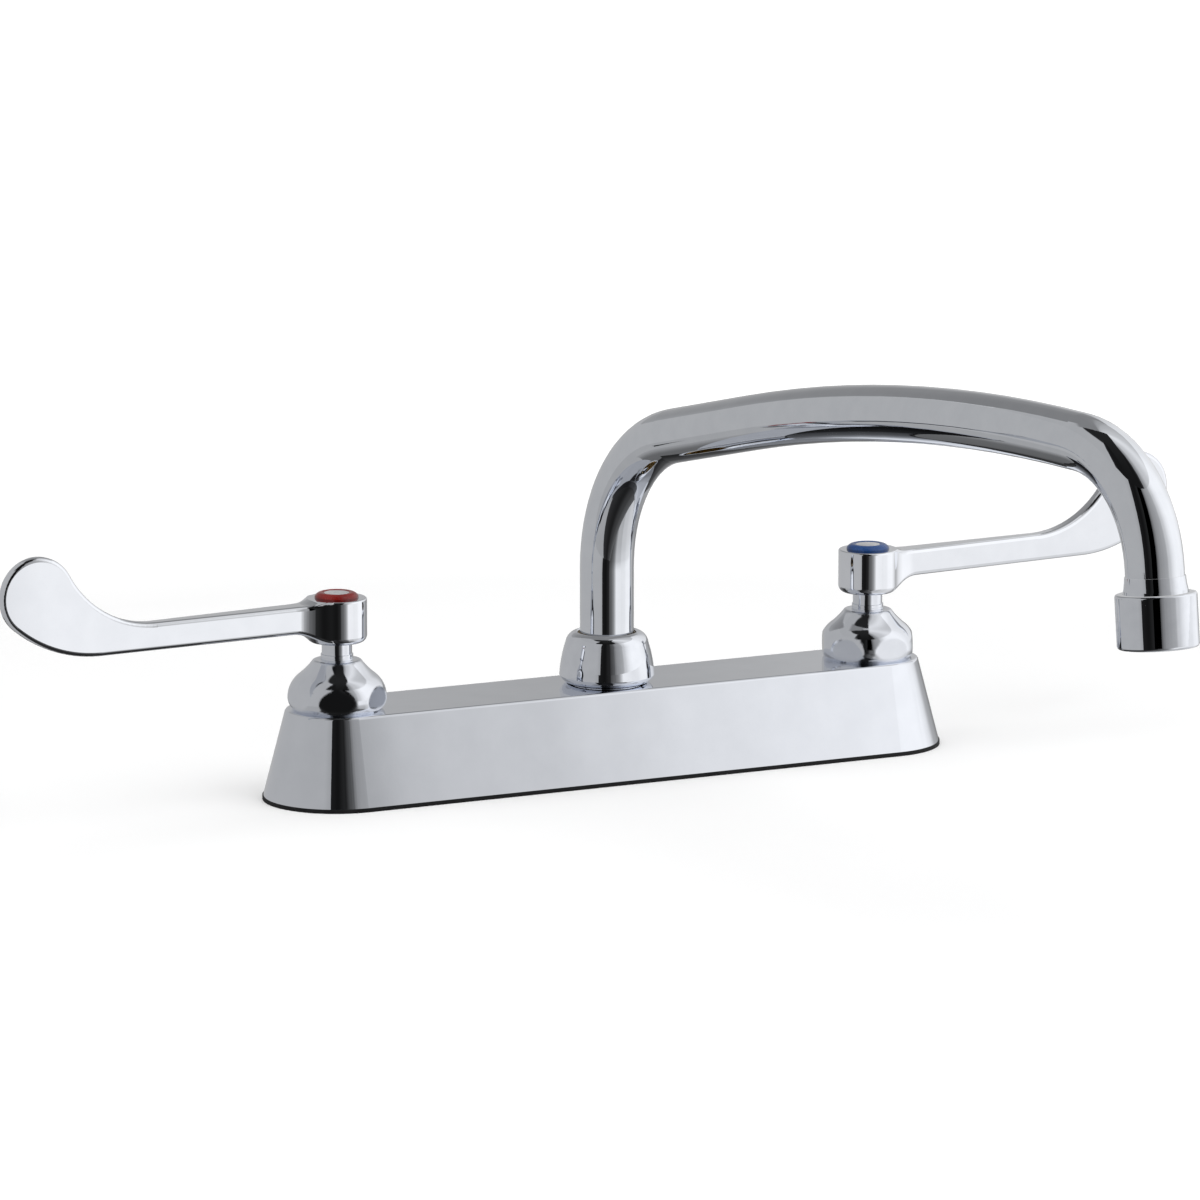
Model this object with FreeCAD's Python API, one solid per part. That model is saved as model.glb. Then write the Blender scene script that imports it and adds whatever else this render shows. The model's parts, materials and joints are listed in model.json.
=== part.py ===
import FreeCAD, Part
import math
import os

# Deck-mount faucet with two quarter-turn valves, blade handles and a swivel spout.
# Millimetres and degrees. The origin lies on the deck, midway between the valves.
# +X runs to the cold side, -Y to the user and +Z up.

# Deck body and gasket
valve_centres = 203.2
gasket_thickness = 1.4
gasket_proud = 0.3
body_height = 29.6
body_foot_radius = 25.3
body_top_radius = 17.6
body_edge_radius = 1.2
body_wall = 3.0
body_roof = 4.0
valve_boss_wall = 3.0
spout_boss_wall = 3.0
spout_boss_lift = 7.0
spout_boss_floor = 3.0
waterway_radius = 3.6
waterway_wall = 2.2

# Inlet shanks and what clamps them to the deck
shank_radius = 10.4
shank_end_radius = 10.0
shank_bore_radius = 6.2
shank_drop = 50.0
shank_end_length = 20.0
shank_end_chamfer = 0.8
inlet_socket_depth = 9.0
seat_web = 1.6
deck_thickness = 12.7
washer_radius = 16.5
washer_thickness = 1.6
lock_nut_flats = 30.0
lock_nut_height = 7.0
hole_clearance = 0.3

# Valve cartridges
chamber_radius = 11.0
seal_thickness = 2.0
seal_width = 3.0
disc_radius = 8.5
disc_thickness = 2.5
port_inner_radius = 2.6
port_outer_radius = 7.2
port_angle = 80.0
barrel_roof = 2.0
window_width = 9.0
window_lip = 0.6
spigot_depth = 6.0

# Stems
stem_radius = 5.13
stem_foot_height = 2.2
stem_foot_width = 7.0
stem_tang_depth = 1.2
stem_tang_width = 3.0
stem_flat_width = 8.0
stem_seal_section = 1.3
stem_seal_rise = 6.0
groove_side_gap = 0.2
clip_radius = 5.5
clip_thickness = 1.9
clip_groove_depth = 0.9
clip_turn_gap = 0.3
clip_turn_depth = 0.3

# Bonnets: a bell of revolution trimmed by a hexagon
bonnet_height = 16.9
bonnet_flats = 31.0
bell_radius = 16.8
bell_foot_radius = 5.0
bonnet_base_radius = 15.1
bonnet_base_height = 0.6
shoulder_radius = 9.8
shoulder_height = 4.0
flare_start = 52.0
flare_radius = 25.0
bonnet_edge = 0.9
hot_bonnet_clock = -53.8
cold_bonnet_clock = -24.8

# Handles
hub_radius = 10.26
hub_height = 15.1
hub_lift = 6.1
hub_top_edge = 0.7
hub_foot_edge = 2.4
handle_reach = 126.4
paddle_rise = 24.7
paddle_tip_radius = 13.4
outer_sweep_radius = 48.5
inner_sweep_radius = 36.0
arm_height = 9.4
arm_drop = 1.2
arm_thickness = 9.2
paddle_thickness = 3.4
arm_edge_radius = 1.5
arm_flare_radius = 20.0
arm_top_fillet = 6.0
arm_foot_slope = 45.0
hot_handle_swing = 5.0
cold_handle_swing = -4.5
stem_engagement = 9.5

# Handle screws and index buttons
screw_radius = 2.4
screw_length = 9.0
screw_head_radius = 4.2
screw_head_height = 2.2
index_radius = 7.4
index_recess = 4.2
index_rise = 1.7
index_shoulder = 0.5
index_web = 0.8
index_wall = 1.6
index_centre_radius = 4.2
index_centre_crown = 0.35

# Spout
spout_yaw = 7.6
spout_reach = 304.8
tube_diameter = 18.5
tube_wall = 1.2
riser_height = 39.9
rise_bend_radius = 52.9
rise_angle = 13.3
rise_run = 47.2
crown_sweep = 14.7
outlet_bend_radius = 38.3
outlet_lean = 5.8
outlet_run = 7.3

# Swivel joint at the foot of the spout
neck_radius = 13.0
neck_height = 12.0
collar_radius = 10.95
collar_depth = 17.0
flange_radius = 12.7
flange_height = 2.0
spout_seal_section = 1.2
spout_seal_first = 3.5
spout_seal_pitch = 5.0
bearing_thickness = 0.8
slip_thickness = 0.5
nut_lift = 0.2
nut_base_radius = 13.9
nut_bevel_height = 2.6
nut_bevel_bow = 0.35
nut_foot_radius = 16.4
nut_waist_radius = 15.55
nut_crown_radius = 14.2
nut_lip = 2.4
nut_crown_drop = 3.6
nut_mouth_gap = 0.85
nut_mouth_chamfer = 0.4

# Aerator, measured along the outlet from its upper rim
aerator_radius = 12.8
aerator_length = 17.0
aerator_rim = 1.6
aerator_rim_edge = 0.8
aerator_foot_edge = 1.0
aerator_mouth_radius = 10.2
tube_insert = 5.0
fitting_radius = 11.3
fitting_length = 8.2
fitting_ledge = 1.2
ferrule_radius = 10.1
ferrule_lip = 0.9
ferrule_height = 5.2
ferrule_edge = 0.25
washer_ring_thickness = 1.4
insert_flange = 1.0
insert_wall = 1.3
insert_recess = 0.6
screen_thickness = 0.5
screen_recess = 1.0
screen_hole_radius = 1.1
screen_hole_pitch = 3.0

# Fits
running_gap = 0.05
thread_gap = 0.05
braze_gap = 0.02
seat_gap = 0.02

# Places worked out from the sizes above
half_centres = valve_centres / 2
tube_radius = tube_diameter / 2
body_floor = gasket_thickness
body_top = body_floor + body_height
chamber_floor = body_floor + inlet_socket_depth + seat_web
seal_top = chamber_floor + seal_thickness
fixed_disc_top = seal_top + disc_thickness
moving_disc_floor = fixed_disc_top + seat_gap
moving_disc_top = moving_disc_floor + disc_thickness
barrel_top = body_top - spigot_depth
barrel_ceiling = barrel_top - barrel_roof
waterway_height = (moving_disc_top + barrel_ceiling) / 2
bonnet_top = body_top + bonnet_height
clip_floor = bonnet_top + running_gap
hub_floor = bonnet_top + hub_lift
hub_top = hub_floor + hub_height
recess_floor = hub_top - index_recess
stem_top = hub_floor + stem_engagement
neck_top = body_top + neck_height
collar_floor = neck_top - collar_depth
bearing_top = neck_top + bearing_thickness
flange_floor = bearing_top + running_gap
flange_top = flange_floor + flange_height
slip_floor = flange_top + running_gap
nut_ceiling = slip_floor + slip_thickness
nut_top = nut_ceiling + nut_lip
nut_floor = body_top + nut_lift
spout_bore_radius = collar_radius + running_gap
riser_top = body_top + riser_height


def vec(x, y, z):
    return FreeCAD.Vector(x, y, z)


def rod(radius, low, high, x=0.0):
    return Part.makeCylinder(radius, high - low, vec(x, 0, low))


def ring(outer, inner, low, high, x=0.0):
    return rod(outer, low, high, x).cut(rod(inner, low - 1, high + 1, x))


def block(wide, deep, low, high):
    return Part.makeBox(wide, deep, high - low, vec(-wide / 2, -deep / 2, low))


def torus(ring_radius, section_radius, height):
    return Part.makeTorus(ring_radius, section_radius, vec(0, 0, height))


def line(start, end):
    return Part.LineSegment(start, end).toShape()


def arc(start, middle, end):
    return Part.Arc(start, middle, end).toShape()


def spin(edges):
    face = Part.Face(Part.Wire(edges))
    return face.revolve(vec(0, 0, 0), vec(0, 0, 1), 360)


def spun_outline(points):
    corners = [vec(r, 0, z) for r, z in points]
    corners.append(corners[0])
    face = Part.Face(Part.makePolygon(corners))
    return face.revolve(vec(0, 0, 0), vec(0, 0, 1), 360)


def hexagon(flats, clock, low, high):
    reach = flats / 2 / math.cos(math.radians(30))
    corners = []
    for step in range(7):
        angle = math.radians(clock - 90 + 60 * step)
        corners.append(vec(reach * math.cos(angle), reach * math.sin(angle), low))
    return Part.Face(Part.makePolygon(corners)).extrude(vec(0, 0, high - low))


def level_edges(shape, height):
    found = []
    for edge in shape.Edges:
        box = edge.BoundBox
        if abs(box.ZMin - height) < 1e-4 and abs(box.ZMax - height) < 1e-4:
            found.append(edge)
    return found


# Deck body: a drafted bridge, cored from below round its bosses and waterway

def drafted_bridge(foot_radius, top_radius, low, high):
    tall = high - low
    hot_end = Part.makeCone(foot_radius, top_radius, tall, vec(-half_centres, 0, low))
    cold_end = Part.makeCone(foot_radius, top_radius, tall, vec(half_centres, 0, low))
    corners = [
        vec(-half_centres, -foot_radius, low),
        vec(-half_centres, foot_radius, low),
        vec(-half_centres, top_radius, high),
        vec(-half_centres, -top_radius, high),
    ]
    corners.append(corners[0])
    middle = Part.Face(Part.makePolygon(corners)).extrude(vec(valve_centres, 0, 0))
    return hot_end.fuse([cold_end, middle]).removeSplitter()


def waterway(radius):
    return Part.makeCylinder(
        radius, valve_centres, vec(-half_centres, 0, waterway_height), vec(1, 0, 0)
    )


def deck_body():
    casting = drafted_bridge(body_foot_radius, body_top_radius, body_floor, body_top)
    casting = casting.makeFillet(body_edge_radius, level_edges(casting, body_top))
    core = drafted_bridge(
        body_foot_radius - body_wall,
        body_top_radius - body_wall,
        body_floor,
        body_top - body_roof,
    )
    casting = casting.cut(core)
    boss_top = body_top - body_roof / 2
    spout_boss_base = body_floor + spout_boss_lift
    bosses = [
        rod(chamber_radius + valve_boss_wall, body_floor, boss_top, -half_centres),
        rod(chamber_radius + valve_boss_wall, body_floor, boss_top, half_centres),
        rod(spout_bore_radius + spout_boss_wall, spout_boss_base, boss_top),
        rod(neck_radius, boss_top, neck_top),
        waterway(waterway_radius + waterway_wall),
    ]
    casting = casting.fuse(bosses)
    cuts = [
        rod(spout_bore_radius, spout_boss_base + spout_boss_floor, neck_top + 1),
        waterway(waterway_radius),
    ]
    socket_top = body_floor + inlet_socket_depth
    for x in (-half_centres, half_centres):
        cuts.append(rod(chamber_radius, chamber_floor, body_top + 1, x))
        cuts.append(rod(shank_bore_radius, socket_top - 1, chamber_floor + 1, x))
        cuts.append(rod(shank_radius + thread_gap, body_floor - 1, socket_top, x))
    return casting.cut(cuts).removeSplitter()


def base_gasket():
    radius = body_foot_radius + gasket_proud
    pad = rod(radius, 0, gasket_thickness, -half_centres)
    pad = pad.fuse([
        rod(radius, 0, gasket_thickness, half_centres),
        block(valve_centres, 2 * radius, 0, gasket_thickness),
    ])
    holes = [
        rod(shank_radius + hole_clearance, -1, gasket_thickness + 1, x)
        for x in (-half_centres, half_centres)
    ]
    return pad.cut(holes).removeSplitter()


# Inlet shanks, washers and lock nuts, each made on the Z axis

def inlet_shank():
    top = body_floor + inlet_socket_depth
    foot = -shank_drop
    shoulder = foot + shank_end_length
    return spun_outline([
        (shank_bore_radius, foot),
        (shank_end_radius - shank_end_chamfer, foot),
        (shank_end_radius, foot + shank_end_chamfer),
        (shank_end_radius, shoulder),
        (shank_radius, shoulder),
        (shank_radius, top),
        (shank_bore_radius, top),
    ])


def shank_washer():
    top = -deck_thickness
    return ring(washer_radius, shank_radius + hole_clearance, top - washer_thickness, top)


def lock_nut():
    top = -deck_thickness - washer_thickness
    foot = top - lock_nut_height
    nut = hexagon(lock_nut_flats, 0, foot, top)
    return nut.cut(rod(shank_radius + thread_gap, foot - 1, top + 1))


# Valve cartridges, each made on the Z axis

def seat_seal():
    return ring(shank_bore_radius + seal_width, shank_bore_radius, chamber_floor, seal_top)


def port_disc(low):
    disc = rod(disc_radius, low, low + disc_thickness)
    for turn in (0, 180):
        port = Part.makeCylinder(
            port_outer_radius, disc_thickness + 2, vec(0, 0, low - 1), vec(0, 0, 1), port_angle
        )
        port = port.cut(rod(port_inner_radius, low - 2, low + disc_thickness + 2))
        port.rotate(vec(0, 0, 0), vec(0, 0, 1), turn - port_angle / 2)
        disc = disc.cut(port)
    return disc


def tang(width, low, high):
    return block(2 * port_inner_radius, width, low, high)


def moving_disc():
    disc = port_disc(moving_disc_floor)
    disc.rotate(vec(0, 0, 0), vec(0, 0, 1), 90)
    slot_floor = moving_disc_top - stem_tang_depth - seat_gap
    return disc.cut(tang(stem_tang_width + 2 * running_gap, slot_floor, moving_disc_top + 1))


def cartridge_barrel():
    outer = chamber_radius - thread_gap
    inner = disc_radius + running_gap
    barrel = rod(outer, seal_top, barrel_top)
    barrel = barrel.cut(rod(inner, seal_top - 1, barrel_ceiling))
    barrel = barrel.cut(rod(stem_radius + running_gap, barrel_ceiling - 1, barrel_top + 1))
    low = moving_disc_top + window_lip
    high = barrel_ceiling - window_lip
    return barrel.cut(block(2 * outer + 2, window_width, low, high))


def bore_groove_radius():
    return stem_radius - stem_seal_section


def stem():
    foot_top = moving_disc_top + stem_foot_height
    foot = rod(disc_radius - hole_clearance, moving_disc_top, foot_top)
    foot = foot.common(block(2 * disc_radius, stem_foot_width, moving_disc_top, foot_top))
    shaft = rod(stem_radius, moving_disc_top, hub_floor)
    drive = rod(stem_radius, hub_floor - 1, stem_top)
    drive = drive.common(block(2 * stem_radius, stem_flat_width, hub_floor, stem_top))
    key = tang(stem_tang_width, moving_disc_top - stem_tang_depth, moving_disc_top + 1)
    turned = shaft.fuse([foot, drive, key])
    seal_low = body_top + stem_seal_rise - groove_side_gap
    seal_high = seal_low + stem_seal_section + 2 * groove_side_gap
    cuts = [
        ring(stem_radius + 1, bore_groove_radius(), seal_low, seal_high),
        ring(
            stem_radius + 1,
            stem_radius - clip_groove_depth,
            clip_floor,
            clip_floor + clip_thickness,
        ),
        rod(screw_radius + thread_gap, recess_floor - screw_length - 1, stem_top + 1),
    ]
    return turned.cut(cuts).removeSplitter()


def stem_seal():
    section = stem_seal_section / 2
    middle = stem_radius + seat_gap - section
    return torus(middle, section, body_top + stem_seal_rise + section)


def stem_clip():
    hole = stem_radius - clip_groove_depth + seat_gap
    clip = ring(clip_radius, hole, clip_floor + seat_gap, clip_floor + clip_thickness - seat_gap)
    middle = clip_floor + clip_thickness / 2
    waist = clip_radius - clip_turn_depth
    low = middle - clip_turn_gap / 2
    return clip.cut(ring(clip_radius + 1, waist, low, low + clip_turn_gap))


def bell():
    shoulder = vec(bell_radius - shoulder_radius, 0, body_top + shoulder_height)
    turn = math.radians(flare_start)
    out = vec(math.cos(turn), 0, math.sin(turn))
    half = vec(math.cos(turn / 2), 0, math.sin(turn / 2))
    joint = shoulder + out * shoulder_radius
    flare = shoulder + out * (shoulder_radius + flare_radius)
    lip_drop = flare.z - bonnet_top
    lip = vec(flare.x - math.sqrt(flare_radius ** 2 - lip_drop ** 2), 0, bonnet_top)
    toward = (joint + lip) * 0.5 - flare
    middle = flare + toward * (flare_radius / toward.Length)
    waist = vec(bell_radius, 0, shoulder.z)
    tuck = vec(bell_radius - bell_foot_radius, 0, shoulder.z)
    base = body_top + bonnet_base_height
    tuck_drop = math.asin((shoulder.z - base) / bell_foot_radius)
    foot = tuck + vec(math.cos(tuck_drop), 0, -math.sin(tuck_drop)) * bell_foot_radius
    tuck_mid = vec(math.cos(tuck_drop / 2), 0, -math.sin(tuck_drop / 2)) * bell_foot_radius
    return spin([
        line(vec(0, 0, body_top), vec(bonnet_base_radius, 0, body_top)),
        line(vec(bonnet_base_radius, 0, body_top), vec(bonnet_base_radius, 0, base)),
        line(vec(bonnet_base_radius, 0, base), foot),
        arc(foot, tuck + tuck_mid, waist),
        arc(waist, shoulder + half * shoulder_radius, joint),
        arc(joint, middle, lip),
        line(lip, vec(0, 0, bonnet_top)),
        line(vec(0, 0, bonnet_top), vec(0, 0, body_top)),
    ])


def bonnet(clock):
    cap = bell()
    cap = cap.makeFillet(bonnet_edge, level_edges(cap, bonnet_top))
    cap = cap.common(hexagon(bonnet_flats, clock, body_top - 1, bonnet_top + 1))
    cap = cap.fuse(rod(chamber_radius - thread_gap, barrel_top, body_top + 1))
    return cap.cut(rod(stem_radius + running_gap, barrel_top - 1, bonnet_top + 1)).removeSplitter()


# Handles, made with the arm along +X and the stem on the Z axis.
# The swing is the arm's angle from straight outwards, positive towards the front.

def arm_outline():
    arm_top = hub_top - arm_drop
    arm_foot = arm_top - arm_height
    tip = vec(handle_reach - paddle_tip_radius, 0, hub_top + paddle_rise - paddle_tip_radius)
    outer_drop = arm_foot + outer_sweep_radius - tip.z
    outer_gap = outer_sweep_radius - paddle_tip_radius
    outer = vec(tip.x - math.sqrt(outer_gap ** 2 - outer_drop ** 2), 0, tip.z + outer_drop)
    inner_lift = arm_top + inner_sweep_radius - tip.z
    inner_gap = inner_sweep_radius + paddle_tip_radius
    inner = vec(tip.x - math.sqrt(inner_gap ** 2 - inner_lift ** 2), 0, tip.z + inner_lift)
    outer_end = tip + (tip - outer) * (paddle_tip_radius / outer_gap)
    inner_end = tip + (inner - tip) * (paddle_tip_radius / inner_gap)
    outer_start = vec(outer.x, 0, arm_foot)
    inner_start = vec(inner.x, 0, arm_top)
    outer_mid = (outer_start + outer_end) * 0.5 - outer
    inner_mid = (inner_start + inner_end) * 0.5 - inner
    tip_mid = tip - (outer_end + inner_end) * 0.5
    if tip_mid.x < 0:
        tip_mid = tip_mid * -1
    return Part.Wire([
        line(vec(0, 0, arm_foot), outer_start),
        arc(outer_start, outer + outer_mid * (outer_sweep_radius / outer_mid.Length), outer_end),
        arc(outer_end, tip + tip_mid * (paddle_tip_radius / tip_mid.Length), inner_end),
        arc(inner_end, inner + inner_mid * (inner_sweep_radius / inner_mid.Length), inner_start),
        line(inner_start, vec(0, 0, arm_top)),
        line(vec(0, 0, arm_top), vec(0, 0, arm_foot)),
    ])


def arm_top_blend():
    arm_top = hub_top - arm_drop
    turn = math.acos(1 - arm_drop / arm_top_fillet)
    centre = vec(hub_radius + arm_top_fillet * math.sin(turn), 0, arm_top + arm_top_fillet)
    end = vec(centre.x, 0, arm_top)
    middle = centre - vec(math.sin(turn / 2), 0, math.cos(turn / 2)) * arm_top_fillet
    start = vec(hub_radius, 0, hub_top)
    floor = arm_top - arm_drop
    return spin([
        line(vec(0, 0, hub_top), start),
        arc(start, middle, end),
        line(end, vec(end.x, 0, floor)),
        line(vec(end.x, 0, floor), vec(0, 0, floor)),
        line(vec(0, 0, floor), vec(0, 0, hub_top)),
    ])


def arm_foot_blend():
    arm_foot = hub_top - arm_drop - arm_height
    turn = math.radians(arm_foot_slope)
    start_x = hub_radius - hub_foot_edge * (1 - math.sin(turn))
    start = vec(start_x, 0, hub_floor + hub_foot_edge * (1 - math.cos(turn)))
    radius = (arm_foot - start.z) / (1 - math.cos(turn))
    centre = vec(start.x + radius * math.sin(turn), 0, arm_foot - radius)
    end = vec(centre.x, 0, arm_foot)
    middle = centre + vec(-math.sin(turn / 2), 0, math.cos(turn / 2)) * radius
    ceiling = arm_foot + arm_height / 2
    return spin([
        line(vec(0, 0, start.z), start),
        arc(start, middle, end),
        line(end, vec(end.x, 0, ceiling)),
        line(vec(end.x, 0, ceiling), vec(0, 0, ceiling)),
        line(vec(0, 0, ceiling), vec(0, 0, start.z)),
    ])


def arm_plan(height):
    half_root = arm_thickness / 2
    half_tip = paddle_thickness / 2
    end = vec(handle_reach + 1, half_tip, 0)
    taper = math.atan((half_root - half_tip) / end.x)
    along = vec(math.cos(taper), -math.sin(taper), 0)
    outward = vec(math.sin(taper), math.cos(taper), 0)
    offset = vec(0, half_root, 0) + outward * arm_flare_radius
    reach = hub_radius + arm_flare_radius
    ahead = offset.dot(along)
    run = math.sqrt(ahead ** 2 - offset.dot(offset) + reach ** 2) - ahead
    flare = offset + along * run
    touch = flare * (hub_radius / reach)
    leave = flare - outward * arm_flare_radius
    toward = (touch + leave) * 0.5 - flare
    middle = flare + toward * (arm_flare_radius / toward.Length)
    upper = [line(vec(0, touch.y, 0), touch), arc(touch, middle, leave), line(leave, end)]
    lower = [edge.mirror(vec(0, 0, 0), vec(0, 1, 0)) for edge in upper]
    ends = [
        line(end, vec(end.x, -end.y, 0)),
        line(vec(0, -touch.y, 0), vec(0, touch.y, 0)),
    ]
    wire = Part.Wire(Part.__sortEdges__(upper + lower + ends))
    return Part.Face(wire).extrude(vec(0, 0, height))


def rim_edges(blade):
    found = []
    for face in blade.Faces:
        normal = face.normalAt(0, 0)
        if isinstance(face.Surface, Part.Plane) and abs(normal.y) > 0.9:
            for edge in face.Edges:
                if edge.BoundBox.XMax > hub_radius + arm_flare_radius:
                    found.append(edge)
    return found


def handle(swing):
    side = Part.Face(arm_outline())
    side.translate(vec(0, -hub_radius, 0))
    blade = side.extrude(vec(0, 2 * hub_radius, 0))
    blade = blade.fuse([arm_top_blend(), arm_foot_blend()])
    blade = blade.common(arm_plan(2 * hub_top)).removeSplitter()
    blade = blade.makeFillet(arm_edge_radius, rim_edges(blade))
    blade.rotate(vec(0, 0, 0), vec(0, 0, 1), -swing)
    hub = rod(hub_radius, hub_floor, hub_top)
    hub = hub.makeFillet(hub_top_edge, level_edges(hub, hub_top))
    hub = hub.makeFillet(hub_foot_edge, level_edges(hub, hub_floor))
    casting = hub.fuse(blade).removeSplitter()
    socket = rod(stem_radius + seat_gap, hub_floor - 1, stem_top + hole_clearance)
    flats = stem_flat_width + 2 * seat_gap
    socket = socket.common(block(2 * hub_radius, flats, hub_floor - 1, hub_top))
    return casting.cut([
        socket,
        rod(screw_radius + hole_clearance, hub_floor, hub_top),
        rod(index_radius + running_gap, recess_floor, hub_top + 1),
    ])


def handle_screw():
    head_top = recess_floor + screw_head_height
    screw = rod(screw_radius, recess_floor - screw_length, recess_floor + 1)
    head = rod(screw_head_radius, recess_floor, head_top)
    head = head.makeFillet(screw_head_height / 2, level_edges(head, head_top))
    return screw.fuse(head).removeSplitter()


def index_ring():
    crown = hub_top + index_rise
    rim = hub_top + index_shoulder
    shelf_top = hub_top
    shelf_floor = shelf_top - index_web
    wall = index_radius - index_wall
    mouth = index_centre_radius + seat_gap
    web_bore = index_centre_radius - index_web
    outer_foot = vec(index_radius, 0, recess_floor)
    outer_rim = vec(index_radius, 0, rim)
    crown_edge = vec(mouth, 0, crown)
    bow = vec((index_radius + mouth) / 2 + index_shoulder, 0, (rim + crown) / 2 + index_shoulder)
    corners = [
        crown_edge,
        vec(mouth, 0, shelf_top),
        vec(web_bore, 0, shelf_top),
        vec(web_bore, 0, shelf_floor),
        vec(wall, 0, shelf_floor),
        vec(wall, 0, recess_floor),
        outer_foot,
        outer_rim,
    ]
    edges = [line(a, b) for a, b in zip(corners, corners[1:])]
    edges.append(arc(outer_rim, bow, crown_edge))
    return spin(edges)


def index_centre():
    crown = hub_top + index_rise - seat_gap
    peak = crown + index_centre_crown
    dome_radius = (index_centre_radius ** 2 + index_centre_crown ** 2) / (2 * index_centre_crown)
    dome = Part.makeSphere(dome_radius, vec(0, 0, peak - dome_radius), vec(1, 0, 0))
    return rod(index_centre_radius, hub_top, peak + 1).common(dome)


# Spout: one bent tube in the YZ plane, turned to its yaw when it is placed

def heading(angle):
    turn = math.radians(angle)
    return vec(0, -math.cos(turn), math.sin(turn))


def bend(start, first, last, radius):
    side = heading(first - 90)
    centre = start + side * radius
    middle = centre - heading((first + last) / 2 - 90) * radius
    end = centre - heading(last - 90) * radius
    return arc(start, middle, end), end


def bend_span(first, last, radius):
    return radius * (math.sin(math.radians(first)) - math.sin(math.radians(last)))


def spout_route():
    level = rise_angle - crown_sweep
    down = outlet_lean - 90
    taken = bend_span(90, rise_angle, rise_bend_radius)
    taken += rise_run * math.cos(math.radians(rise_angle))
    taken += bend_span(level, down, outlet_bend_radius)
    taken += (outlet_run + aerator_length) * math.sin(math.radians(outlet_lean))
    crown_radius = (spout_reach - taken) / bend_span(rise_angle, level, 1.0)
    start = vec(0, 0, collar_floor)
    riser = vec(0, 0, riser_top)
    rise_bend, rise_start = bend(riser, 90, rise_angle, rise_bend_radius)
    rise_end = rise_start + heading(rise_angle) * rise_run
    crown, crown_end = bend(rise_end, rise_angle, level, crown_radius)
    outlet_bend, drop_start = bend(crown_end, level, down, outlet_bend_radius)
    rim = drop_start + heading(down) * outlet_run
    end = rim + heading(down) * tube_insert
    edges = [
        line(start, riser),
        rise_bend,
        line(rise_start, rise_end),
        crown,
        outlet_bend,
        line(drop_start, end),
    ]
    return Part.Wire(edges), rim


def swept(route, radius):
    section = Part.Wire(Part.makeCircle(radius, vec(0, 0, collar_floor), vec(0, 0, 1)))
    return route.makePipeShell([section], True, False)


def spout_tube():
    route, rim = spout_route()
    return swept(route, tube_radius).cut(swept(route, tube_radius - tube_wall))


def spout_collar():
    bore = tube_radius + braze_gap
    collar = ring(collar_radius, bore, collar_floor, flange_top)
    collar = collar.fuse(ring(flange_radius, bore, flange_floor, flange_top))
    depth = spout_seal_section
    for low in seal_heights():
        groove_low = low - groove_side_gap
        groove_high = low + spout_seal_section + groove_side_gap
        collar = collar.cut(ring(collar_radius + 1, collar_radius - depth, groove_low, groove_high))
    return collar.removeSplitter()


def seal_heights():
    first = collar_floor + spout_seal_first
    return [first, first + spout_seal_pitch]


def spout_seals():
    section = spout_seal_section / 2
    middle = collar_radius + seat_gap - section
    return Part.makeCompound([torus(middle, section, low + section) for low in seal_heights()])


def spout_bearing_ring():
    return ring(neck_radius - running_gap, spout_bore_radius, neck_top, bearing_top)


def spout_slip_ring():
    bore = tube_radius + nut_mouth_gap
    return ring(neck_radius - running_gap, bore, slip_floor, nut_ceiling)


def spout_nut():
    bore = neck_radius + thread_gap
    mouth = tube_radius + nut_mouth_gap
    waist = vec(nut_waist_radius, 0, (nut_floor + nut_top) / 2)
    base = vec(nut_base_radius, 0, nut_floor)
    foot = vec(nut_foot_radius, 0, nut_floor + nut_bevel_height)
    bevel = foot - base
    bow = vec(bevel.z, 0, -bevel.x) * (nut_bevel_bow / bevel.Length)
    crown = vec(nut_crown_radius, 0, nut_top - nut_crown_drop)
    lip = vec(mouth + nut_mouth_chamfer, 0, nut_top)
    rounding = vec((nut_crown_radius * 2 + lip.x) / 3, 0, nut_top - nut_crown_drop / 3)
    lip_foot = vec(mouth, 0, nut_top - nut_mouth_chamfer)
    return spin([
        line(vec(bore, 0, nut_floor), base),
        arc(base, (base + foot) * 0.5 + bow, foot),
        arc(foot, waist, crown),
        arc(crown, rounding, lip),
        line(lip, lip_foot),
        line(lip_foot, vec(mouth, 0, nut_ceiling)),
        line(vec(mouth, 0, nut_ceiling), vec(bore, 0, nut_ceiling)),
        line(vec(bore, 0, nut_ceiling), vec(bore, 0, nut_floor)),
    ])


# Outlet pieces, made downwards from a rim at the origin

def ferrule():
    bore = tube_radius + braze_gap
    neck = bore + ferrule_edge
    low = -aerator_rim - fitting_length / 2
    top = vec(neck, 0, ferrule_height)
    lip = vec(ferrule_radius, 0, ferrule_lip)
    sag = vec((top.x * 2 + lip.x) / 3, 0, (top.z + lip.z) / 2)
    return spin([
        line(vec(bore, 0, low), vec(ferrule_radius, 0, low)),
        line(vec(ferrule_radius, 0, low), lip),
        arc(lip, sag, top),
        line(top, vec(bore, 0, ferrule_height)),
        line(vec(bore, 0, ferrule_height), vec(bore, 0, low)),
    ])


def outlet_fitting():
    high = -aerator_rim - seat_gap
    low = high - fitting_length
    fitting = rod(fitting_radius, low, high)
    fitting = fitting.cut(rod(tube_radius + braze_gap, -tube_insert, high + 1))
    waterline = tube_radius - fitting_ledge
    fitting = fitting.cut(rod(waterline, low - 1, high))
    return fitting.fuse(ferrule()).removeSplitter()


def fitting_foot():
    return aerator_rim + seat_gap + fitting_length


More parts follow.
